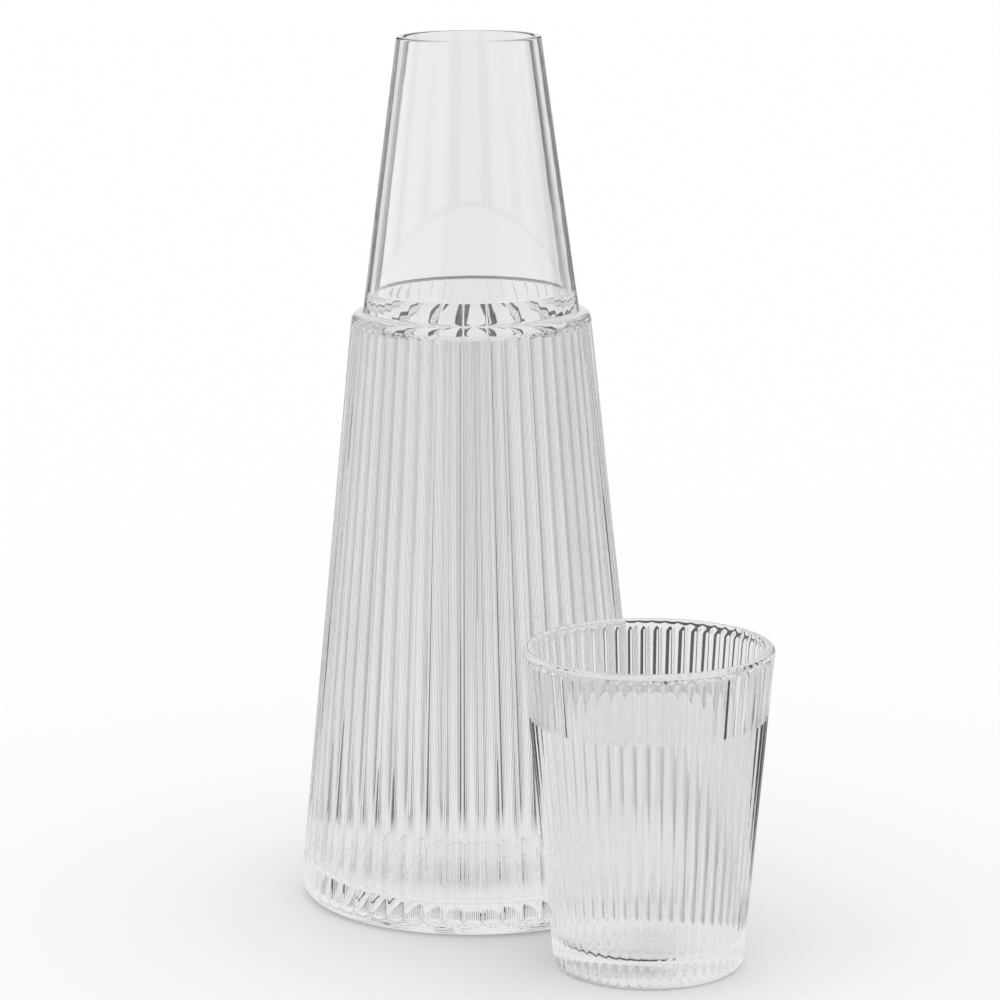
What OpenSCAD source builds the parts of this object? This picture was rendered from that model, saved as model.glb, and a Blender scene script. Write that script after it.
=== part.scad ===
/* [Carafe] */
// Height of the carafe from the table to its rim
carafe_h = 270; // [262:1:285]
// Height of the shoulder ledge above the table
shoulder_h = 185.5; // [176:0.5:192]
// Diameter of the body where its straight side would meet the table
body_foot_d = 111.4; // [104:0.2:122]
// Diameter of the neck where it rises from the ledge
neck_foot_d = 67; // [62:0.5:68]
// Width of the ledge round the foot of the neck
ledge_w = 3.4; // [3:0.1:5]
// Outside diameter of the mouth
mouth_d = 44.4; // [38:0.2:50]
// Wall of the neck
neck_wall = 2.4; // [1.8:0.1:3]
// Wall of the body, measured at the ridges between flutes
body_wall = 3.4; // [3:0.1:4.5]
// Glass between the inner floor and the table
carafe_floor_t = 8; // [6:0.5:12]
// Rounding of the outer bottom edge
carafe_foot_r = 5; // [4:0.5:8]
// Rounding between the inner floor and the inner wall
carafe_bowl_r = 9; // [5:0.5:14]

/* [Tumbler] */
// Wall of the tumbler, measured at the ridges between flutes
tumbler_wall = 3.2; // [2.6:0.1:3.8]
// Gap round the foot of the neck when the tumbler is turned over it
cover_gap = 0.7; // [0.4:0.1:1.5]
// Gap over the carafe's rim when the tumbler is turned over it
headroom = 4.7; // [2:0.1:8]
// Glass between the tumbler's inner floor and the table
tumbler_floor_t = 8; // [5:0.5:12]
// Diameter of the tumbler where its straight side would meet the table
tumbler_foot_d = 56.5; // [52:0.5:62]
// Rounding of the tumbler's outer bottom edge
tumbler_foot_r = 3; // [1.5:0.1:4]
// Rounding between the tumbler's inner floor and its wall
tumbler_bowl_r = 5; // [3:0.5:8]

/* [Flutes] */
// Number of flutes round each piece
flute_count = 56; // [44:2:64]
// Width of the ridge left between two flutes
ridge_w = 0.5; // [0.3:0.1:0.9]
// Depth of a body flute at its foot, where it is widest
body_flute_depth = 1; // [0.6:0.05:1]
// Depth of a tumbler flute at its top, where it is widest
tumbler_flute_depth = 0.85; // [0.4:0.05:1.1]
// Plain band between the ledge and the arched tops of the body flutes
shoulder_band = 2.8; // [2:0.1:8]
// Plain band between the table and the round lower ends of the body flutes
foot_band = 3; // [2:0.1:8]
// Plain band between the tumbler's rim and the arched tops of its flutes
lip_band = 2; // [1.7:0.1:8]
// Turn of the carafe's ridges in degrees, from the front and towards the right
carafe_turn = 2.1; // [-3.2:0.1:3.2]
// Turn of the tumbler's ridges in degrees, from the front and towards the right
tumbler_turn = -1.4; // [-3.2:0.1:3.2]

/* [Foot rings] */
// Depth of the hollow pressed into each underside
hollow_depth = 0.8; // [0.4:0.1:1.5]
// Width of the ring that the carafe stands on
carafe_ring_w = 7; // [4:0.5:10]
// Width of the ring that the tumbler stands on
tumbler_ring_w = 4; // [2:0.5:6]

/* [Place on the table] */
// Gap between the carafe's foot and the tumbler's lip, seen from above
set_gap = 1.2; // [0.5:0.1:60]
// Direction of the tumbler from the carafe, from the right and towards the back
set_angle = -57; // [-180:1:180]

/* [Hidden] */
$fn = 96;
// How far a cutting shape runs past what it cuts
overrun = 2;
glass = [0.86, 0.93, 0.95, 0.45];

// Shares of the ledge's width, taken by its round edge and by the fillet at the neck
ledge_round_share = 0.8;
neck_fillet_share = 0.28;
// Share of the neck's wall that each edge of the cut rim is rounded by
rim_round_share = 0.3;
// Shares of the inner step's width, by which the inside is rounded below and above the step
inner_round_share = 0.6;
inner_lip_share = 0.38;

// Body cone: radius at the table and lean of its side
body_r = body_foot_d / 2;
shoulder_r = neck_foot_d / 2 + ledge_w;
body_lean = atan((body_r - shoulder_r) / shoulder_h);

// Neck cone: height, radius at the ledge and lean of its side
neck_h = carafe_h - shoulder_h;
neck_r = neck_foot_d / 2;
mouth_r = mouth_d / 2;
neck_lean = atan((neck_r - mouth_r) / neck_h);

// Tumbler: turned over, it covers the neck and its lip rests on the ledge
lip_r = neck_r + cover_gap + tumbler_wall;
tumbler_h = neck_h + headroom + tumbler_floor_t;
tumbler_r = tumbler_foot_d / 2;
tumbler_lean = atan((tumbler_r - lip_r) / tumbler_h);
tumbler_place = body_r + set_gap + lip_r;

// Radius of a straight side at a height, from its radius at zero and its lean
function side_r(r0, lean, z) = r0 - z * tan(lean);
// Centre of a circle of radius r that touches a side from within, at a height
function inside_x(r0, lean, z, r) = side_r(r0, lean, z) - r / cos(lean);
// Centre of a circle of radius r that touches a side from outside, at a height
function outside_x(r0, lean, z, r) = side_r(r0, lean, z) + r / cos(lean);
// Point where such a circle touches its side
function touch(c, r, lean) = [c[0] + r * cos(lean), c[1] + r * sin(lean)];

// Room from from_x to a circle that touches a side from outside, between its centre and a height
module beside_round(from_x, c, r, lean, to_z) {
    difference() {
        polygon([[from_x, to_z], [c[0], to_z], c, touch(c, -r, lean), [from_x, c[1]]]);
        translate(c) circle(r = r);
    }
}

// Solid outside form of the carafe, as a half section
module carafe_outside() {
    foot_c = [inside_x(body_r, body_lean, carafe_foot_r, carafe_foot_r), carafe_foot_r];
    edge_r = ledge_w * ledge_round_share;
    edge_z = shoulder_h - edge_r;
    edge_c = [inside_x(body_r, body_lean, edge_z, edge_r), edge_z];
    fillet_r = ledge_w * neck_fillet_share;
    fillet_c = [outside_x(neck_r, neck_lean, fillet_r, fillet_r), shoulder_h + fillet_r];
    rim_r = neck_wall * rim_round_share;
    rim_c = [inside_x(neck_r, neck_lean, neck_h - rim_r, rim_r), carafe_h - rim_r];
    polygon([
        [0, 0],
        [foot_c[0], 0],
        foot_c,
        touch(foot_c, carafe_foot_r, body_lean),
        touch(edge_c, edge_r, body_lean),
        edge_c,
        [edge_c[0], shoulder_h],
        [neck_r, shoulder_h],
        touch(rim_c, rim_r, neck_lean),
        rim_c,
        [rim_c[0], carafe_h],
        [0, carafe_h]
    ]);
    translate(foot_c) circle(r = carafe_foot_r);
    translate(edge_c) circle(r = edge_r);
    translate(rim_c) circle(r = rim_r);
    beside_round(neck_r - neck_wall / 2, fillet_c, fillet_r, neck_lean, shoulder_h);
}

// Hollow inside of the carafe, as a half section
module carafe_inside() {
    body_in = body_r - body_wall / cos(body_lean);
    neck_in = neck_r - neck_wall / cos(neck_lean);
    bowl_z = carafe_floor_t + carafe_bowl_r;
    bowl_c = [inside_x(body_in, body_lean, bowl_z, carafe_bowl_r), bowl_z];
    top_z = shoulder_h - body_wall;
    step_w = side_r(body_in, body_lean, top_z) - side_r(neck_in, neck_lean, -body_wall);
    round_r = step_w * inner_round_share;
    round_c = [inside_x(body_in, body_lean, top_z - round_r, round_r), top_z - round_r];
    lip_round_r = step_w * inner_lip_share;
    lip_c = [outside_x(neck_in, neck_lean, lip_round_r - body_wall, lip_round_r), top_z + lip_round_r];
    rim_r = neck_wall * rim_round_share;
    rim_c = [outside_x(neck_in, neck_lean, neck_h - rim_r, rim_r), carafe_h - rim_r];
    polygon([
        [0, carafe_floor_t],
        [bowl_c[0], carafe_floor_t],
        bowl_c,
        touch(bowl_c, carafe_bowl_r, body_lean),
        touch(round_c, round_r, body_lean),
        round_c,
        [round_c[0], top_z],
        [side_r(neck_in, neck_lean, -body_wall), top_z],
        [side_r(neck_in, neck_lean, neck_h + overrun), carafe_h + overrun],
        [0, carafe_h + overrun]
    ]);
    translate(bowl_c) circle(r = carafe_bowl_r);
    translate(round_c) circle(r = round_r);
    beside_round(0, lip_c, lip_round_r, neck_lean, top_z);
    beside_round(0, rim_c, rim_r, neck_lean, carafe_h + overrun);
}

// Hollow pressed into an underside, as a half section: a shallow dome of a given reach
module underside_hollow(reach) {
    steps = 8;
    polygon(concat(
        [[0, -overrun], [reach, -overrun]],
        [for (i = [steps:-1:0]) [reach * i / steps, hollow_depth * (1 - pow(i / steps, 2))]]
    ));
}

// Outside form of the tumbler with its full round lip, as a half section
module tumbler_outside() {
    foot_c = [inside_x(tumbler_r, tumbler_lean, tumbler_foot_r, tumbler_foot_r), tumbler_foot_r];
    lip_round_r = tumbler_wall / 2;
    lip_z = tumbler_h - lip_round_r;
    lip_c = [inside_x(tumbler_r, tumbler_lean, lip_z, lip_round_r), lip_z];
    polygon([
        [0, 0],
        [foot_c[0], 0],
        foot_c,
        touch(foot_c, tumbler_foot_r, tumbler_lean),
        touch(lip_c, lip_round_r, tumbler_lean),
        touch(lip_c, -lip_round_r, tumbler_lean),
        [0, lip_z]
    ]);
    translate(foot_c) circle(r = tumbler_foot_r);
    translate(lip_c) circle(r = lip_round_r);
}

// Hollow inside of the tumbler, as a half section
module tumbler_inside() {
    side_in = tumbler_r - tumbler_wall / cos(tumbler_lean);
    bowl_z = tumbler_floor_t + tumbler_bowl_r;
    bowl_c = [inside_x(side_in, tumbler_lean, bowl_z, tumbler_bowl_r), bowl_z];
    lip_z = tumbler_h - tumbler_wall / 2;
    lip_c = [inside_x(tumbler_r, tumbler_lean, lip_z, tumbler_wall / 2), lip_z];
    polygon([
        [0, tumbler_floor_t],
        [bowl_c[0], tumbler_floor_t],
        bowl_c,
        touch(bowl_c, tumbler_bowl_r, tumbler_lean),
        touch(lip_c, -tumbler_wall / 2, tumbler_lean),
        [0, tumbler_h]
    ]);
    translate(bowl_c) circle(r = tumbler_bowl_r);
}

// Half the width of a flute where the side has radius r
function flute_half_w(r) = r * sin(180 / flute_count) - ridge_w / 2;
// Radius of the round cutter that is wide w and deep d where it meets the side
function cutter_r(half_w, depth) = (half_w * half_w + depth * depth) / (2 * depth);

// Round cutter with ball ends: stands on its lower centre and tapers from r1 to r2
module ball_ended_cutter(length, r1, r2) {
    rotate_extrude() {
        polygon([[0, 0], [r1, 0], [r2, length], [0, length]]);
        intersection() {
            circle(r = r1);
            translate([0, -2 * r1]) square([2 * r1, 2 * r1]);
        }
        translate([0, length]) intersection() {
            circle(r = r2);
            square([2 * r2, 2 * r2]);
        }
    }
}

// One cutter for a flute between heights z1 and z2 of a side, with its depth at each
module flute(r0, lean, z1, z2, depth1, depth2) {
    c1 = cutter_r(flute_half_w(side_r(r0, lean, z1)), depth1);
    c2 = cutter_r(flute_half_w(side_r(r0, lean, z2)), depth2);
    x1 = outside_x(r0, lean, z1, 0) + (c1 - depth1) / cos(lean);
    x2 = outside_x(r0, lean, z2, 0) + (c2 - depth2) / cos(lean);
    translate([x1, 0, z1])
        rotate([0, atan2(x2 - x1, z2 - z1), 0])
            ball_ended_cutter(norm([x2 - x1, z2 - z1]), c1, c2);
}

// Flutes all round, with a ridge between two of them at the front
module ring_of_flutes() {
    for (i = [0 : flute_count - 1])
        rotate([0, 0, (i + 0.5) * 360 / flute_count - 90]) children();
}

// Carafe: blown in a fluted mould, with a plain neck
module carafe() {
    low_z = foot_band + flute_half_w(side_r(body_r, body_lean, foot_band));
    high_z = shoulder_h - shoulder_band
        - flute_half_w(side_r(body_r, body_lean, shoulder_h - shoulder_band));
    high_depth = body_flute_depth * side_r(body_r, body_lean, high_z) / side_r(body_r, body_lean, low_z);
    foot_x = inside_x(body_r, body_lean, carafe_foot_r, carafe_foot_r);
    color(glass) rotate([0, 0, carafe_turn]) difference() {
        rotate_extrude() difference() {
            carafe_outside();
            carafe_inside();
            underside_hollow(foot_x - carafe_ring_w);
        }
        ring_of_flutes() flute(body_r, body_lean, low_z, high_z, body_flute_depth, high_depth);
    }
}

// Tumbler: stands beside the carafe, and turned over it covers the neck
module tumbler() {
    low_z = -overrun;
    high_z = tumbler_h - lip_band
        - flute_half_w(side_r(tumbler_r, tumbler_lean, tumbler_h - lip_band));
    low_depth = tumbler_flute_depth * side_r(tumbler_r, tumbler_lean, low_z)
        / side_r(tumbler_r, tumbler_lean, high_z);
    foot_x = inside_x(tumbler_r, tumbler_lean, tumbler_foot_r, tumbler_foot_r);
    color(glass)
        rotate([0, 0, set_angle]) translate([tumbler_place, 0, 0]) rotate([0, 0, tumbler_turn - set_angle])
        difference() {
            rotate_extrude() difference() {
                tumbler_outside();
                tumbler_inside();
                underside_hollow(foot_x - tumbler_ring_w);
            }
            ring_of_flutes() flute(tumbler_r, tumbler_lean, low_z, high_z, low_depth, tumbler_flute_depth);
        }
}

carafe();
tumbler();
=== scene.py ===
import math

import bpy
import numpy as np
from mathutils import Matrix, Vector


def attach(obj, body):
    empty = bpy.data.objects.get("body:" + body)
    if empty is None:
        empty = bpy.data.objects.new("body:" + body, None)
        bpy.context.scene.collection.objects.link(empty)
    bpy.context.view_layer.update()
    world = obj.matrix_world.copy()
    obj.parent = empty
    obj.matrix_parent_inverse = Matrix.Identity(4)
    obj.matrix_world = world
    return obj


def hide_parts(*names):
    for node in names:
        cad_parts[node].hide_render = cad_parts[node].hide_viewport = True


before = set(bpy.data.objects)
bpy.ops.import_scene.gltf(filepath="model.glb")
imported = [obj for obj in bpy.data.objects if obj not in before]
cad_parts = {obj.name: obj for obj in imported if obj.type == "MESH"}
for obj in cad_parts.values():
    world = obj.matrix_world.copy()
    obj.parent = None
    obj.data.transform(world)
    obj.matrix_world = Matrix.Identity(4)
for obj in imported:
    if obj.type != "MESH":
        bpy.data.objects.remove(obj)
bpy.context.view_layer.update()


# Carafe. Clear soda-lime glass blown in a mould with 56 upright flutes. The neck above the
# ledge is plain, its rim is cut and fire polished, and the inside is smooth all the way down.

MM = 0.001

# Heights and radii in millimetres, as in the CAD
CARAFE_H = 270.0
SHOULDER_H = 185.5
BODY_R = 55.7
SHOULDER_R = 36.9
NECK_R = 33.5
MOUTH_R = 22.2
NECK_WALL = 2.4
BODY_WALL = 3.4
CARAFE_FLOOR = 8.0
CARAFE_FOOT_ROUND = 5.0
CARAFE_BOWL_ROUND = 9.0
LEDGE_ROUND = 2.72
LEDGE_FILLET = 0.95
RIM_ROUND = 0.72
STEP_ROUND_BELOW = 1.5
STEP_ROUND_ABOVE = 0.95
HOLLOW_DEPTH = 0.8
CARAFE_HOLLOW_R = 43.17

# Flutes: their number, the ridge left between two, and the plain bands below and above them
FLUTES = 56
RIDGE_W = 0.5
BODY_FLUTE_DEPTH = 1.0
FOOT_BAND = 3.0
SHOULDER_BAND = 2.8
# A flute's round end is as high as half its width. At the foot that is worked out where the
# body's radius has lost the first of these, and under the ledge it is the second
FOOT_END_NARROWING = 0.3
LEDGE_ARCH_H = 1.85
# How far a ridge is turned from the front, in degrees towards the right
CARAFE_TURN = 2.1
# The fire polish softens each ridge and each end of a flute by about this much
POLISH = 0.09

# The mesh has more rows by the ends of the flutes: the lowest, the highest and their number
FOOT_ROWS = (6.0, 9.2, 7)
LEDGE_ROWS = (178.6, 182.6, 16)
# Rows closer than this to the table and to the ledge stay round
ROUND_AT_FOOT = 0.5
ROUND_AT_LEDGE = 0.8
# Points round the axis are drawn towards the ridges, from 0 for even spacing to 1
CROWDING = 0.8
# The smooth inside needs only one in this many of them
INSIDE_STEP = 4


def rounded_profile(corners, arc_step=7.0, hold=0.4):
    """Half section as a line of (radius, height) points. Each corner (radius, height, rounding) is
    replaced by the arc of that rounding that touches both of its sides, a point every arc_step
    degrees: the arc's first and last radius are added, each times the sine of the angle from the
    other, over the sine of the whole turn. A straight run gets one more point near each end, hold
    away or a third of the run, so that the smooth shading of an arc doesn't spread along it."""
    pieces = [np.array([corners[0][:2]], float)]
    for before, (r, z, rounding), after in zip(corners, corners[1:], corners[2:]):
        corner = np.array([r, z], float)
        to_before = np.array(before[:2]) - corner
        to_after = np.array(after[:2]) - corner
        to_before /= np.linalg.norm(to_before)
        to_after /= np.linalg.norm(to_after)
        half = math.acos(float(np.clip(to_before @ to_after, -1, 1))) / 2
        middle = to_before + to_after
        centre = corner + middle / np.linalg.norm(middle) * rounding / math.sin(half)
        start = corner + to_before * rounding / math.tan(half) - centre
        end = corner + to_after * rounding / math.tan(half) - centre
        turn = math.pi - 2 * half
        steps = max(2, math.ceil(math.degrees(turn) / arc_step))
        k = np.linspace(0, 1, steps + 1)[:, None]
        swept = np.sin((1 - k) * turn) * start + np.sin(k * turn) * end
        pieces.append(centre + swept / math.sin(turn))
    pieces.append(np.array([corners[-1][:2]], float))
    points = [pieces[0]]
    for one, other in zip(pieces, pieces[1:]):
        run = other[0] - one[-1]
        step = run * min(hold / np.linalg.norm(run), 1 / 3)
        points += [one[-1:] + step, other[:1] - step, other]
    return np.concatenate(points)


def flute_angles(turn, per_flute=16):
    """Angles round the axis, closer together beside the ridges: from one ridge to the next the
    share u runs evenly from 0 to 1, and the place is u less CROWDING times the sine of u's full
    turn over a full turn."""
    u = np.arange(per_flute) / per_flute
    place = u - CROWDING * np.sin(2 * math.pi * u) / (2 * math.pi)
    return math.radians(turn) + (np.arange(FLUTES)[:, None] + place).ravel() * 2 * math.pi / FLUTES


def flute_depth(angle, radius, along, low, high, depth, inset):
    """How far a round flute is sunk below the straight side. Across the flute it is a circle of
    the radius that is as wide as the flute and as deep as depth; beyond low and high it is a ball
    of the same radius, which gives the arched ends, and past the ball it rises out of the side
    twice as fast as the distance grows. inset is how far the form itself already stays inside
    the straight side, as at a rounded foot. The depth s is softened to half of the sum of s and
    the root of s squared plus POLISH squared."""
    pitch = 2 * math.pi / FLUTES
    from_middle = angle % pitch - pitch / 2
    half_w = radius * math.sin(pitch / 2) - RIDGE_W / 2
    circle_r = (half_w ** 2 + depth ** 2) / (2 * depth)
    across = radius * np.sin(from_middle)
    beyond = np.maximum(low - along, 0) + np.maximum(along - high, 0)
    room = circle_r ** 2 - across ** 2 - beyond ** 2
    ball = np.where(room > 0, np.sqrt(np.maximum(room, 0)), -2 * beyond)
    sunk = ball - (circle_r - depth) - inset
    return (sunk + np.sqrt(sunk ** 2 + POLISH ** 2)) / 2


def turned_mesh(name, rings, centre=(0.0, 0.0)):
    """Closed mesh from rings of points in millimetres, each a row of (x, y, z), from the axis
    under the piece to the axis above it: the first and last rings are drawn together in their
    middles. Where a ring has fewer points than the one before it, each of its sides takes up
    an equal number of the other's."""
    offsets = np.cumsum([1] + [len(points) for points in rings])
    middle = [rings[0].mean(axis=0), rings[-1].mean(axis=0)]
    verts = np.concatenate([middle[:1], *rings, middle[1:]]) + np.array([*centre, 0.0])
    faces = []
    for k, points in enumerate(rings):
        here = offsets[k] + np.arange(len(points))
        beside = np.roll(here, -1)
        if k == 0:
            faces += np.stack([beside, here, np.zeros_like(here)], axis=-1).tolist()
        if k == len(rings) - 1:
            faces += np.stack([here, beside, np.full_like(here, offsets[-1])], axis=-1).tolist()
            break
        above = offsets[k + 1] + np.arange(len(rings[k + 1]))
        many = len(here) // len(above)
        fan = [np.roll(here, -j)[::many] for j in range(many + 1)]
        faces += np.stack([*fan, np.roll(above, -1), above], axis=-1).tolist()
    mesh = bpy.data.meshes.new(name)
    mesh.from_pydata((verts * MM).tolist(), [], faces)
    mesh.polygons.foreach_set("use_smooth", np.ones(len(faces), bool))
    mesh.validate()
    piece = bpy.data.objects.new(name, mesh)
    bpy.context.scene.collection.objects.link(piece)
    return piece


def ring(radius, height, angle):
    """Points of one row: radius and height turned round the axis, angle 0 at the front."""
    radius = np.broadcast_to(radius, angle.shape)
    height = np.broadcast_to(height, angle.shape)
    return np.stack([radius * np.sin(angle), -radius * np.cos(angle), height], axis=-1)


def dome(reach, steps=5):
    """Hollow pressed into an underside: height falls from the middle with the square of the
    distance from it. Rows from the middle outwards."""
    k = np.arange(steps) / steps
    return np.stack([reach * k, HOLLOW_DEPTH * (1 - k ** 2)], axis=-1)


def side_wall(foot_r, top_r, height, wall):
    """Radius of the inner side at the table and at height, for an outer side that runs straight
    from foot_r to top_r: each is the outer radius less the wall over the cosine of the lean."""
    lean = math.atan((foot_r - top_r) / height)
    return foot_r - wall / math.cos(lean), top_r - wall / math.cos(lean)


def carafe_outside():
    """Outside of the carafe from under its foot to the top of its rim."""
    neck_in = side_wall(NECK_R, MOUTH_R, CARAFE_H - SHOULDER_H, NECK_WALL)[1]
    return rounded_profile([
        (CARAFE_HOLLOW_R, 0, 0),
        (BODY_R, 0, CARAFE_FOOT_ROUND),
        (SHOULDER_R, SHOULDER_H, LEDGE_ROUND),
        (NECK_R, SHOULDER_H, LEDGE_FILLET),
        (MOUTH_R, CARAFE_H, RIM_ROUND),
        ((MOUTH_R + neck_in) / 2, CARAFE_H, 0),
    ])


def carafe_inside():
    """Inside of the carafe from the top of its rim down to the middle of its floor."""
    neck_low, neck_high = side_wall(NECK_R, MOUTH_R, CARAFE_H - SHOULDER_H, NECK_WALL)
    body_low, body_high = side_wall(BODY_R, SHOULDER_R, SHOULDER_H, BODY_WALL)
    step_z = SHOULDER_H - BODY_WALL
    neck_lean = (neck_low - neck_high) / (CARAFE_H - SHOULDER_H)
    body_lean = (body_low - body_high) / SHOULDER_H
    return rounded_profile([
        ((MOUTH_R + neck_high) / 2, CARAFE_H, 0),
        (neck_high, CARAFE_H, RIM_ROUND),
        (neck_low + neck_lean * BODY_WALL, step_z, STEP_ROUND_ABOVE),
        (body_low - body_lean * step_z, step_z, STEP_ROUND_BELOW),
        (body_low - body_lean * CARAFE_FLOOR, CARAFE_FLOOR, CARAFE_BOWL_ROUND),
        (0, CARAFE_FLOOR, 0),
    ])


def with_rows(profile, heights):
    """The profile with a row at each of these heights added to its longest straight run."""
    run = int(np.argmax(np.linalg.norm(np.diff(profile, axis=0), axis=1)))
    lower, upper = profile[run], profile[run + 1]
    share = (heights - lower[1]) / (upper[1] - lower[1])
    added = lower + share[:, None] * (upper - lower)
    return np.concatenate([profile[: run + 1], added, profile[run + 1:]])


def fluted_rings(profile, foot_r, lean, low, high, depth_at, turn, fluted):
    """One ring for each row of a profile. Rows marked in fluted are moved inwards, square to the
    straight side, by flute_depth. A height over the cosine of the lean is the distance up the
    side from the table, which flute_depth takes."""
    cos, sin = math.cos(lean), math.sin(lean)
    angle = flute_angles(turn)
    rings = []
    for (r, z), sunk in zip(profile, fluted):
        inset = max(0.0, (foot_r - r) * cos - z * sin)
        radius = foot_r - z * math.tan(lean)
        sink = flute_depth(angle - math.radians(turn), radius, z / cos, low / cos, high / cos,
                           depth_at(radius), inset)
        sink = sink if sunk else np.zeros_like(angle)
        rings.append(ring(r - sink * cos, z - sink * sin, angle))
    return rings


def body_flute_depth(radius):
    """Depth of the carafe's flutes: it shrinks with the radius, from BODY_FLUTE_DEPTH at their
    lower ends."""
    return BODY_FLUTE_DEPTH * radius / low_radius


body_lean = math.atan((BODY_R - SHOULDER_R) / SHOULDER_H)
foot_end_r = BODY_R - FOOT_END_NARROWING
flute_low = FOOT_BAND + foot_end_r * math.sin(math.pi / FLUTES) - RIDGE_W / 2
flute_high = SHOULDER_H - SHOULDER_BAND - LEDGE_ARCH_H
low_radius = BODY_R - flute_low * math.tan(body_lean)
end_rows = np.concatenate([np.linspace(*FOOT_ROWS), np.linspace(*LEDGE_ROWS)])
outside = with_rows(carafe_outside(), end_rows)
is_fluted = (outside[:, 1] > ROUND_AT_FOOT) & (outside[:, 1] < SHOULDER_H - ROUND_AT_LEDGE)
angle = flute_angles(CARAFE_TURN)
rings = [ring(r, z, angle) for r, z in dome(CARAFE_HOLLOW_R)[1:]]
rings += fluted_rings(outside, BODY_R, body_lean, flute_low, flute_high,
                      body_flute_depth, CARAFE_TURN, is_fluted)
rings += [ring(r, z, angle[::INSIDE_STEP]) for r, z in carafe_inside()[1:-1]]
carafe = turned_mesh("carafe_glass_body", rings)


def linear(hex_colour):
    """sRGB hex to the linear colour that a shader takes: a part up to 0.04045 is divided by
    12.92, and a larger one plus 0.055, over 1.055, is raised to the power of 2.4."""
    parts = [int(hex_colour[i:i + 2], 16) / 255 for i in (1, 3, 5)]
    return [p / 12.92 if p <= 0.04045 else ((p + 0.055) / 1.055) ** 2.4 for p in parts] + [1.0]


def add_node(material, kind, links=None, **settings):
    """Adds a node, sets its properties or input values, and links inputs to given outputs."""
    node = material.node_tree.nodes.new(kind)
    for key, value in settings.items():
        if hasattr(node, key):
            setattr(node, key, value)
        else:
            node.inputs[key.replace("_", " ")].default_value = value
    for socket, source in (links or {}).items():
        material.node_tree.links.new(source, node.inputs[socket])
    return node


def new_material(name):
    """An empty node material of that name."""
    material = bpy.data.materials.new(name)
    material.use_nodes = True
    material.node_tree.nodes.clear()
    return material


# Soda-lime glass, mould blown and fire polished: clear and hard, bright where it mirrors the
# studio, with the faint waviness that the mould leaves in the surface.
GLASS_COLOUR = "#fefefe"
GLASS_IOR = 1.5
# The mould's waves, in millimetres: finer ones don't show at this size
WAVE_LENGTH = 9.0
WAVE_HEIGHT = 0.02
glass = new_material("mould_blown_soda_lime_glass")
place = add_node(glass, "ShaderNodeTexCoord")
waves = add_node(glass, "ShaderNodeTexNoise", {"Vector": place.outputs["Object"]},
                 Scale=1 / (WAVE_LENGTH * MM), Detail=1.0)
waviness = add_node(glass, "ShaderNodeBump", {"Height": waves.outputs["Fac"]},
                    Distance=WAVE_HEIGHT * MM)
shader = add_node(glass, "ShaderNodeBsdfPrincipled", {"Normal": waviness.outputs["Normal"]},
                  Base_Color=linear(GLASS_COLOUR), Roughness=0.0, IOR=GLASS_IOR,
                  Transmission_Weight=1.0)
add_node(glass, "ShaderNodeOutputMaterial", {"Surface": shader.outputs["BSDF"]})
carafe.data.materials.append(glass)
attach(carafe, "carafe")
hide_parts("carafe")


# Water in the carafe, up to just above the foot of the neck. Still drinking water, with the
# small rise where it wets the glass. It reaches a little into the wall, so no air shows between.

# Millimetres: how far it reaches into the wall, how high its edge rises, and where it stands
WETTING = 0.15
MENISCUS = 0.3
CARAFE_WATER_H = 191.5
# At this distance from the wall a little over a third of the rise is left
MENISCUS_REACH = 1.6
# The top has rings this far from the wall, and the side leaves out the wall's rows that are
# closer than this below the level
RINGS_FROM_WALL = [0.3, 0.8, 1.5, 2.5, 4.0, 6.5, 10.0]
CLEAR_BELOW_TOP = 0.5


def water_body(name, inside, level, centre, count=192):
    """Water in a vessel: the inside of the vessel pushed out into the wall by WETTING, cut at
    level, and closed by a top whose edge rises by MENISCUS times the exponential of minus the
    distance from the wall over MENISCUS_REACH."""
    angle = np.arange(count) * 2 * math.pi / count
    wall = inside[::-1]
    wall = wall[wall[:, 1] < level - CLEAR_BELOW_TOP]
    wall_r = np.interp(level + MENISCUS, inside[::-1, 1], inside[::-1, 0])
    wall = np.concatenate([wall, [[wall_r, level + MENISCUS]]])
    slope = np.gradient(wall, axis=0)
    slope /= np.linalg.norm(slope, axis=1)[:, None]
    pushed = wall + WETTING * np.stack([slope[:, 1], -slope[:, 0]], axis=-1)
    pushed[0, 0] = 0.0
    away = np.array(RINGS_FROM_WALL)
    top = np.stack([wall_r - away, level + MENISCUS * np.exp(-away / MENISCUS_REACH)], axis=-1)
    profile = np.concatenate([pushed, top, [[0.0, level]]])
    return turned_mesh(name, [ring(r, z, angle) for r, z in profile[1:-1]], centre)


carafe_water = water_body("carafe_water", carafe_inside(), CARAFE_WATER_H, (0.0, 0.0))

# Drinking water: clear, and seen only by how it bends light. A table is never quite still, so the
# water has swells, in millimetres, drawn higher than they are so that they show.
WATER_COLOUR = "#fefeff"
WATER_IOR = 1.333
SWELL_LENGTH = 18.0
SWELL_HEIGHT = 0.02
water = new_material("still_drinking_water")
place = add_node(water, "ShaderNodeTexCoord")
swells = add_node(water, "ShaderNodeTexNoise", {"Vector": place.outputs["Object"]},
                  Scale=1 / (SWELL_LENGTH * MM), Detail=0.0)
swell = add_node(water, "ShaderNodeBump", {"Height": swells.outputs["Fac"]},
                 Distance=SWELL_HEIGHT * MM)
shader = add_node(water, "ShaderNodeBsdfPrincipled", {"Normal": swell.outputs["Normal"]},
                  Base_Color=linear(WATER_COLOUR), Roughness=0.0, IOR=WATER_IOR,
                  Transmission_Weight=1.0)
add_node(water, "ShaderNodeOutputMaterial", {"Surface": shader.outputs["BSDF"]})
carafe_water.data.materials.append(water)
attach(carafe_water, "carafe")


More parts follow.
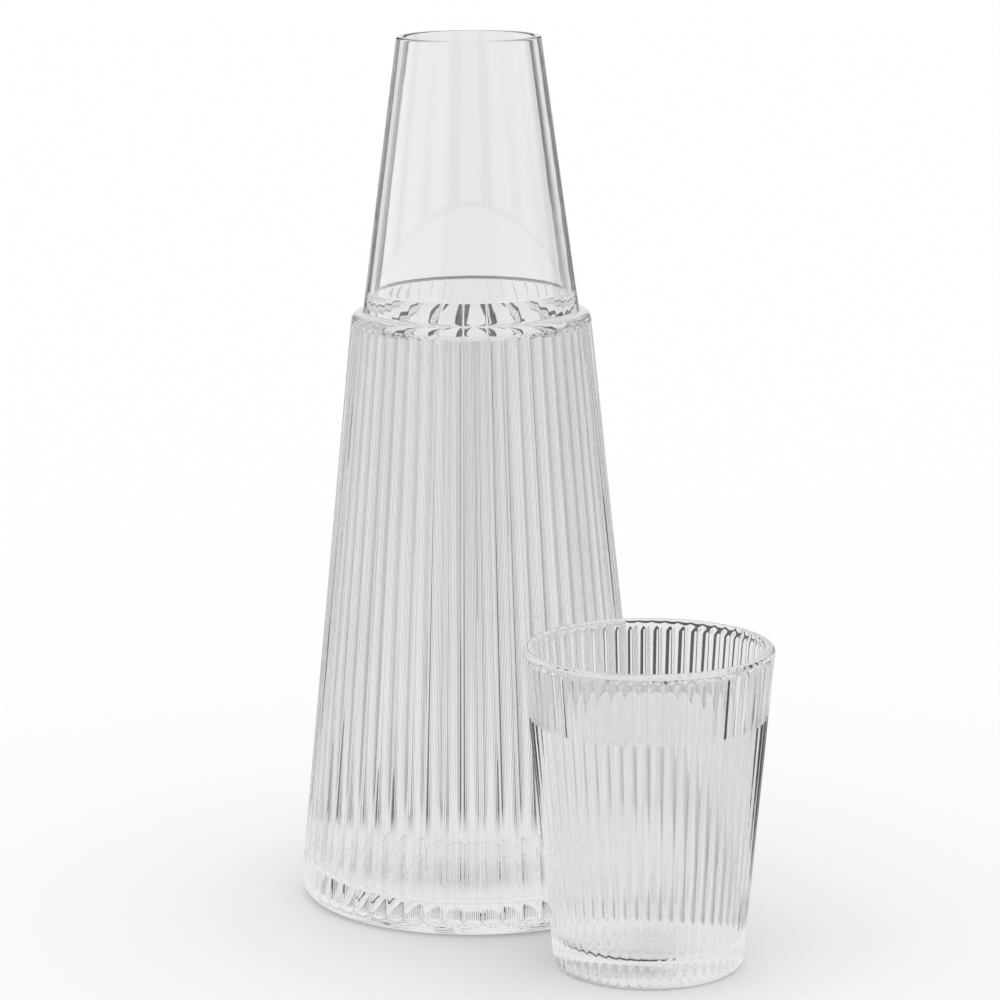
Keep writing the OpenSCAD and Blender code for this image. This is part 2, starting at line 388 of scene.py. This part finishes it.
# Tumbler. The same soda-lime glass and the same 56 flutes, pressed with a heavy floor and a
# full round lip. Turned over, it covers the neck, and its lip rests on the ledge.

# Heights and radii in millimetres, as in the CAD
TUMBLER_H = 97.2
TUMBLER_R = 28.25
LIP_R = 37.4
TUMBLER_WALL = 3.2
TUMBLER_FLOOR = 8.0
TUMBLER_FOOT_ROUND = 3.0
TUMBLER_BOWL_ROUND = 5.0
TUMBLER_HOLLOW_R = 21.52
TUMBLER_PLACE = (51.36, -79.09)
# The lip's two rounds take this share of half the wall each, so that they don't quite meet
LIP_ROUND_SHARE = 0.98

# The flutes start as arches under a plain band at the lip and run out at the foot, where their
# lower ends would come below the table
TUMBLER_FLUTE_DEPTH = 0.75
LIP_BAND = 2.0
LIP_ARCH_H = 1.83
RUN_OUT_H = -2.0
TUMBLER_TURN = -1.4
# More rows by the arches, and rows close to the table and to the lip that stay round
LIP_ROWS = (91.2, 95.0, 16)
ROUND_AT_TUMBLER_FOOT = 0.05
ROUND_AT_LIP = 0.6


def tumbler_outside():
    """Outside of the tumbler from under its foot to the middle of its lip."""
    middle = side_wall(TUMBLER_R, LIP_R, TUMBLER_H, TUMBLER_WALL / 2)[1]
    return rounded_profile([
        (TUMBLER_HOLLOW_R, 0, 0),
        (TUMBLER_R, 0, TUMBLER_FOOT_ROUND),
        (LIP_R, TUMBLER_H, TUMBLER_WALL / 2 * LIP_ROUND_SHARE),
        (middle, TUMBLER_H, 0),
    ])


def tumbler_inside():
    """Inside of the tumbler from the middle of its lip down to the middle of its floor."""
    middle = side_wall(TUMBLER_R, LIP_R, TUMBLER_H, TUMBLER_WALL / 2)[1]
    low, high = side_wall(TUMBLER_R, LIP_R, TUMBLER_H, TUMBLER_WALL)
    lean = (low - high) / TUMBLER_H
    return rounded_profile([
        (middle, TUMBLER_H, 0),
        (high, TUMBLER_H, TUMBLER_WALL / 2 * LIP_ROUND_SHARE),
        (low - lean * TUMBLER_FLOOR, TUMBLER_FLOOR, TUMBLER_BOWL_ROUND),
        (0, TUMBLER_FLOOR, 0),
    ])


def tumbler_flute_depth(radius):
    """Depth of the tumbler's flutes: it shrinks with the radius, from TUMBLER_FLUTE_DEPTH at
    their upper ends."""
    return TUMBLER_FLUTE_DEPTH * radius / high_radius


tumbler_lean = math.atan((TUMBLER_R - LIP_R) / TUMBLER_H)
lip_flute_high = TUMBLER_H - LIP_BAND - LIP_ARCH_H
high_radius = TUMBLER_R - lip_flute_high * math.tan(tumbler_lean)
outside = with_rows(tumbler_outside(), np.linspace(*LIP_ROWS))
is_fluted = (outside[:, 1] > ROUND_AT_TUMBLER_FOOT) & (outside[:, 1] < TUMBLER_H - ROUND_AT_LIP)
angle = flute_angles(TUMBLER_TURN)
rings = [ring(r, z, angle) for r, z in dome(TUMBLER_HOLLOW_R)[1:]]
rings += fluted_rings(outside, TUMBLER_R, tumbler_lean, RUN_OUT_H, lip_flute_high,
                      tumbler_flute_depth, TUMBLER_TURN, is_fluted)
rings += [ring(r, z, angle[::INSIDE_STEP]) for r, z in tumbler_inside()[1:-1]]
tumbler = turned_mesh("tumbler_glass_body", rings, TUMBLER_PLACE)
tumbler.data.materials.append(glass)
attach(tumbler, "tumbler")
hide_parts("tumbler")


# Water in the tumbler, poured to about three quarters of its height. It is the same still
# drinking water as in the carafe, wets the wall as that does, and moves with the tumbler.

TUMBLER_WATER_H = 75.0

tumbler_water = water_body("tumbler_water", tumbler_inside(), TUMBLER_WATER_H, TUMBLER_PLACE)
tumbler_water.data.materials.append(water)
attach(tumbler_water, "tumbler")


# Table: a matt white sheet under the glass and far behind it, which keeps the object's shadow.
# To rays through or off the glass it glows with painted studio light instead: the screens and
# gaps as the walls show them, so that no horizon shows, and further off painted reflections of
# the soft boxes. Close to the glass the glow is plain white, with the shadow painted out, which
# keeps the thick floors bright.

# Metres from the middle of the carafe's foot: the sheet's edge, and where the plain white ends
# and where the soft boxes come in, from and to
TABLE_R = 6.0
PLAIN_WHITE_ENDS = (0.055, 0.1)
BOXES_COME_IN = (0.25, 1.2)
TABLE_SIDES = 96
TABLE_COLOUR = "#e0e0e0"
WHITE = (1.0, 1.0, 1.0, 1.0)
# The camera sees the sheet this much brighter, so that it blends into the white behind it
CAMERA_LIFT = (0.25, 0.25, 0.25, 1.0)

# Light level of the white screens round the object and of the dark gaps between them, as found
# in the glass. Bearings are in degrees, from straight behind the object towards the right. A gap
# is GAP_HALF wide to each side of its middle, with an edge that is soft by GAP_EDGE each way
SEEN_WHITE = 0.82
SEEN_GAP = 0.05
SCREENS = 8
FIRST_GAP = 22.5
GAP_HALF = 7.5
GAP_EDGE = 1.2
# What only a mirror in the glass finds: the soft boxes at the left and at the right front, and
# the pale wall behind the camera. Each has its level, the bearing of its middle, and its half
# width
SOFT_BOXES = [(1.2, -99.0, 49.0), (1.05, 123.0, 27.0), (0.78, 180.0, 34.0)]
BOX_EDGE = 4.0
# Degrees in a turn, and the bearing at which Blender's radial gradient starts
FULL_TURN = 360.0
GRADIENT_START = -90.0


def studio_light(material, coordinates, plain_share, box_share):
    """Light level that a ray finds when it has gone through glass or was mirrored by it, and 1 or
    0 for whether it is such a ray at all. It depends on the ray's bearing, and turns to plain
    white where plain_share is 1. The soft boxes show by box_share."""
    path = add_node(material, "ShaderNodeLightPath")
    either = add_node(material, "ShaderNodeMath", {0: path.outputs["Is Glossy Ray"],
                                                   1: path.outputs["Is Transmission Ray"]},
                      operation="MAXIMUM")

    def screen(middle, period, half, edge, level_in, level_out):
        """level_in where the bearing is within half of middle, or of middle plus any number of
        periods, and level_out elsewhere. The bearing's share of a full turn is folded at half a
        period, which gives how far away the nearest middle is."""
        turned = add_node(material, "ShaderNodeMapping", {"Vector": coordinates})
        turned.inputs["Rotation"].default_value[2] = math.radians(middle - GRADIENT_START)
        bearing = add_node(material, "ShaderNodeTexGradient", {"Vector": turned.outputs["Vector"]},
                           gradient_type="RADIAL")
        away = add_node(material, "ShaderNodeMath", {0: bearing.outputs["Fac"]},
                        operation="PINGPONG")
        away.inputs[1].default_value = period / 2 / FULL_TURN
        return add_node(material, "ShaderNodeMapRange", {"Value": away.outputs[0]},
                        interpolation_type="SMOOTHSTEP",
                        From_Min=(half - edge) / FULL_TURN, From_Max=(half + edge) / FULL_TURN,
                        To_Min=level_in, To_Max=level_out).outputs[0]

    level = screen(FIRST_GAP, FULL_TURN / SCREENS, GAP_HALF, GAP_EDGE, SEEN_GAP, SEEN_WHITE)
    for strength, middle, half in SOFT_BOXES:
        box = screen(middle, FULL_TURN, half, BOX_EDGE, strength, 0.0)
        box = add_node(material, "ShaderNodeMapRange", {"Value": box_share, "To Max": box})
        box = add_node(material, "ShaderNodeMapRange", {"Value": path.outputs["Glossy Depth"],
                                                        "To Max": box.outputs[0]})
        brighter = add_node(material, "ShaderNodeMath", {0: level, 1: box.outputs[0]},
                            operation="MAXIMUM")
        level = brighter.outputs[0]
    plain = add_node(material, "ShaderNodeMapRange", {"Value": plain_share, "To Min": level},
                     To_Max=SEEN_WHITE)
    return plain.outputs[0], either.outputs[0]


bpy.ops.mesh.primitive_circle_add(vertices=TABLE_SIDES, radius=TABLE_R, fill_type="NGON")
table = bpy.context.object
table.name = "table_sheet"
paper = new_material("matt_white_sheet_painted_studio_glow")
place = add_node(paper, "ShaderNodeTexCoord")
distance = add_node(paper, "ShaderNodeVectorMath", {0: place.outputs["Object"]},
                    operation="LENGTH")
near = add_node(paper, "ShaderNodeMapRange", {"Value": distance.outputs["Value"]},
                interpolation_type="SMOOTHSTEP",
                From_Min=PLAIN_WHITE_ENDS[1], From_Max=PLAIN_WHITE_ENDS[0])
far = add_node(paper, "ShaderNodeMapRange", {"Value": distance.outputs["Value"]},
               interpolation_type="SMOOTHSTEP",
               From_Min=BOXES_COME_IN[0], From_Max=BOXES_COME_IN[1])
level, is_glass_ray = studio_light(paper, place.outputs["Object"],
                                   near.outputs["Result"], far.outputs["Result"])
path = add_node(paper, "ShaderNodeLightPath")
matt = add_node(paper, "ShaderNodeBsdfDiffuse", Color=linear(TABLE_COLOUR))
own = add_node(paper, "ShaderNodeEmission", {"Strength": path.outputs["Is Camera Ray"]},
               Color=CAMERA_LIFT)
both = add_node(paper, "ShaderNodeAddShader", {0: matt.outputs[0], 1: own.outputs[0]})
# Painted studio light: to glass rays the sheet glows with the screens, dark gaps and soft boxes,
# and plain white without shadow close to the glass
painted_studio_glow = add_node(paper, "ShaderNodeEmission", {"Strength": level}, Color=WHITE)
surface = add_node(paper, "ShaderNodeMixShader",
                   {0: is_glass_ray, 1: both.outputs[0], 2: painted_studio_glow.outputs[0]})
add_node(paper, "ShaderNodeOutputMaterial", {"Surface": surface.outputs[0]})
table.data.materials.append(paper)


# Studio light: a room that is plain white to the camera and to the table. In the glass it shows
# its white screens with the dark gaps between them, which fade into a white ceiling, and what
# the glass mirrors has the soft boxes and the pale wall behind the camera as well.

# Height of a ray's direction, as a share of its length, where the fading starts and ends
CEILING = (0.25, 0.5)
ROOM_LEVEL = 1.0
# Light that goes through flutes, walls and water crosses their surfaces many times
BOUNCES = 160

world = bpy.data.worlds.new("white_room")
world.use_nodes = True
world.node_tree.nodes.clear()
place = add_node(world, "ShaderNodeTexCoord")
axes = add_node(world, "ShaderNodeSeparateXYZ", {0: place.outputs["Generated"]})
high = add_node(world, "ShaderNodeMapRange", {"Value": axes.outputs["Z"]},
                interpolation_type="SMOOTHSTEP", From_Min=CEILING[0], From_Max=CEILING[1])
low = add_node(world, "ShaderNodeMapRange", {"Value": axes.outputs["Z"]},
               interpolation_type="SMOOTHSTEP", From_Min=CEILING[1], From_Max=CEILING[0])
level, is_glass_ray = studio_light(world, place.outputs["Generated"],
                                   high.outputs["Result"], low.outputs["Result"])
fill = add_node(world, "ShaderNodeBackground", Color=WHITE, Strength=ROOM_LEVEL)
seen = add_node(world, "ShaderNodeBackground", {"Strength": level}, Color=WHITE)
surface = add_node(world, "ShaderNodeMixShader",
                   {0: is_glass_ray, 1: fill.outputs[0], 2: seen.outputs[0]})
add_node(world, "ShaderNodeOutputWorld", {"Surface": surface.outputs[0]})
bpy.context.scene.world = world
bpy.context.scene.cycles.max_bounces = BOUNCES
bpy.context.scene.cycles.transmission_bounces = BOUNCES
bpy.context.scene.cycles.glossy_bounces = BOUNCES


# Camera: a long lens a little above the carafe's rim, looking down by eleven degrees. Its place,
# its angles and its lens were fitted to the outlines of both pieces in the photograph.

CAMERA_PLACE = (0.0, -1.21687, 0.36980)
CAMERA_DOWN = math.radians(11.357)
CAMERA_TURN = math.radians(0.4009)
CAMERA_ROLL = math.radians(-0.4056)
LENS_MM = 143.03
SENSOR_MM = 36.0

ahead = Vector((math.sin(CAMERA_TURN) * math.cos(CAMERA_DOWN),
                math.cos(CAMERA_TURN) * math.cos(CAMERA_DOWN), -math.sin(CAMERA_DOWN)))
right = Vector((math.cos(CAMERA_TURN), -math.sin(CAMERA_TURN), 0.0))
above = right.cross(ahead)
right_rolled = math.cos(CAMERA_ROLL) * right + math.sin(CAMERA_ROLL) * above
above_rolled = -math.sin(CAMERA_ROLL) * right + math.cos(CAMERA_ROLL) * above
lens = bpy.data.cameras.new("long_lens")
lens.lens = LENS_MM
lens.sensor_width = SENSOR_MM
camera = bpy.data.objects.new("camera", lens)
camera.matrix_world = Matrix.Translation(CAMERA_PLACE) @ Matrix(
    (right_rolled, above_rolled, -ahead)).transposed().to_4x4()
bpy.context.scene.collection.objects.link(camera)
bpy.context.scene.camera = camera
bpy.context.scene.view_settings.view_transform = "Standard"
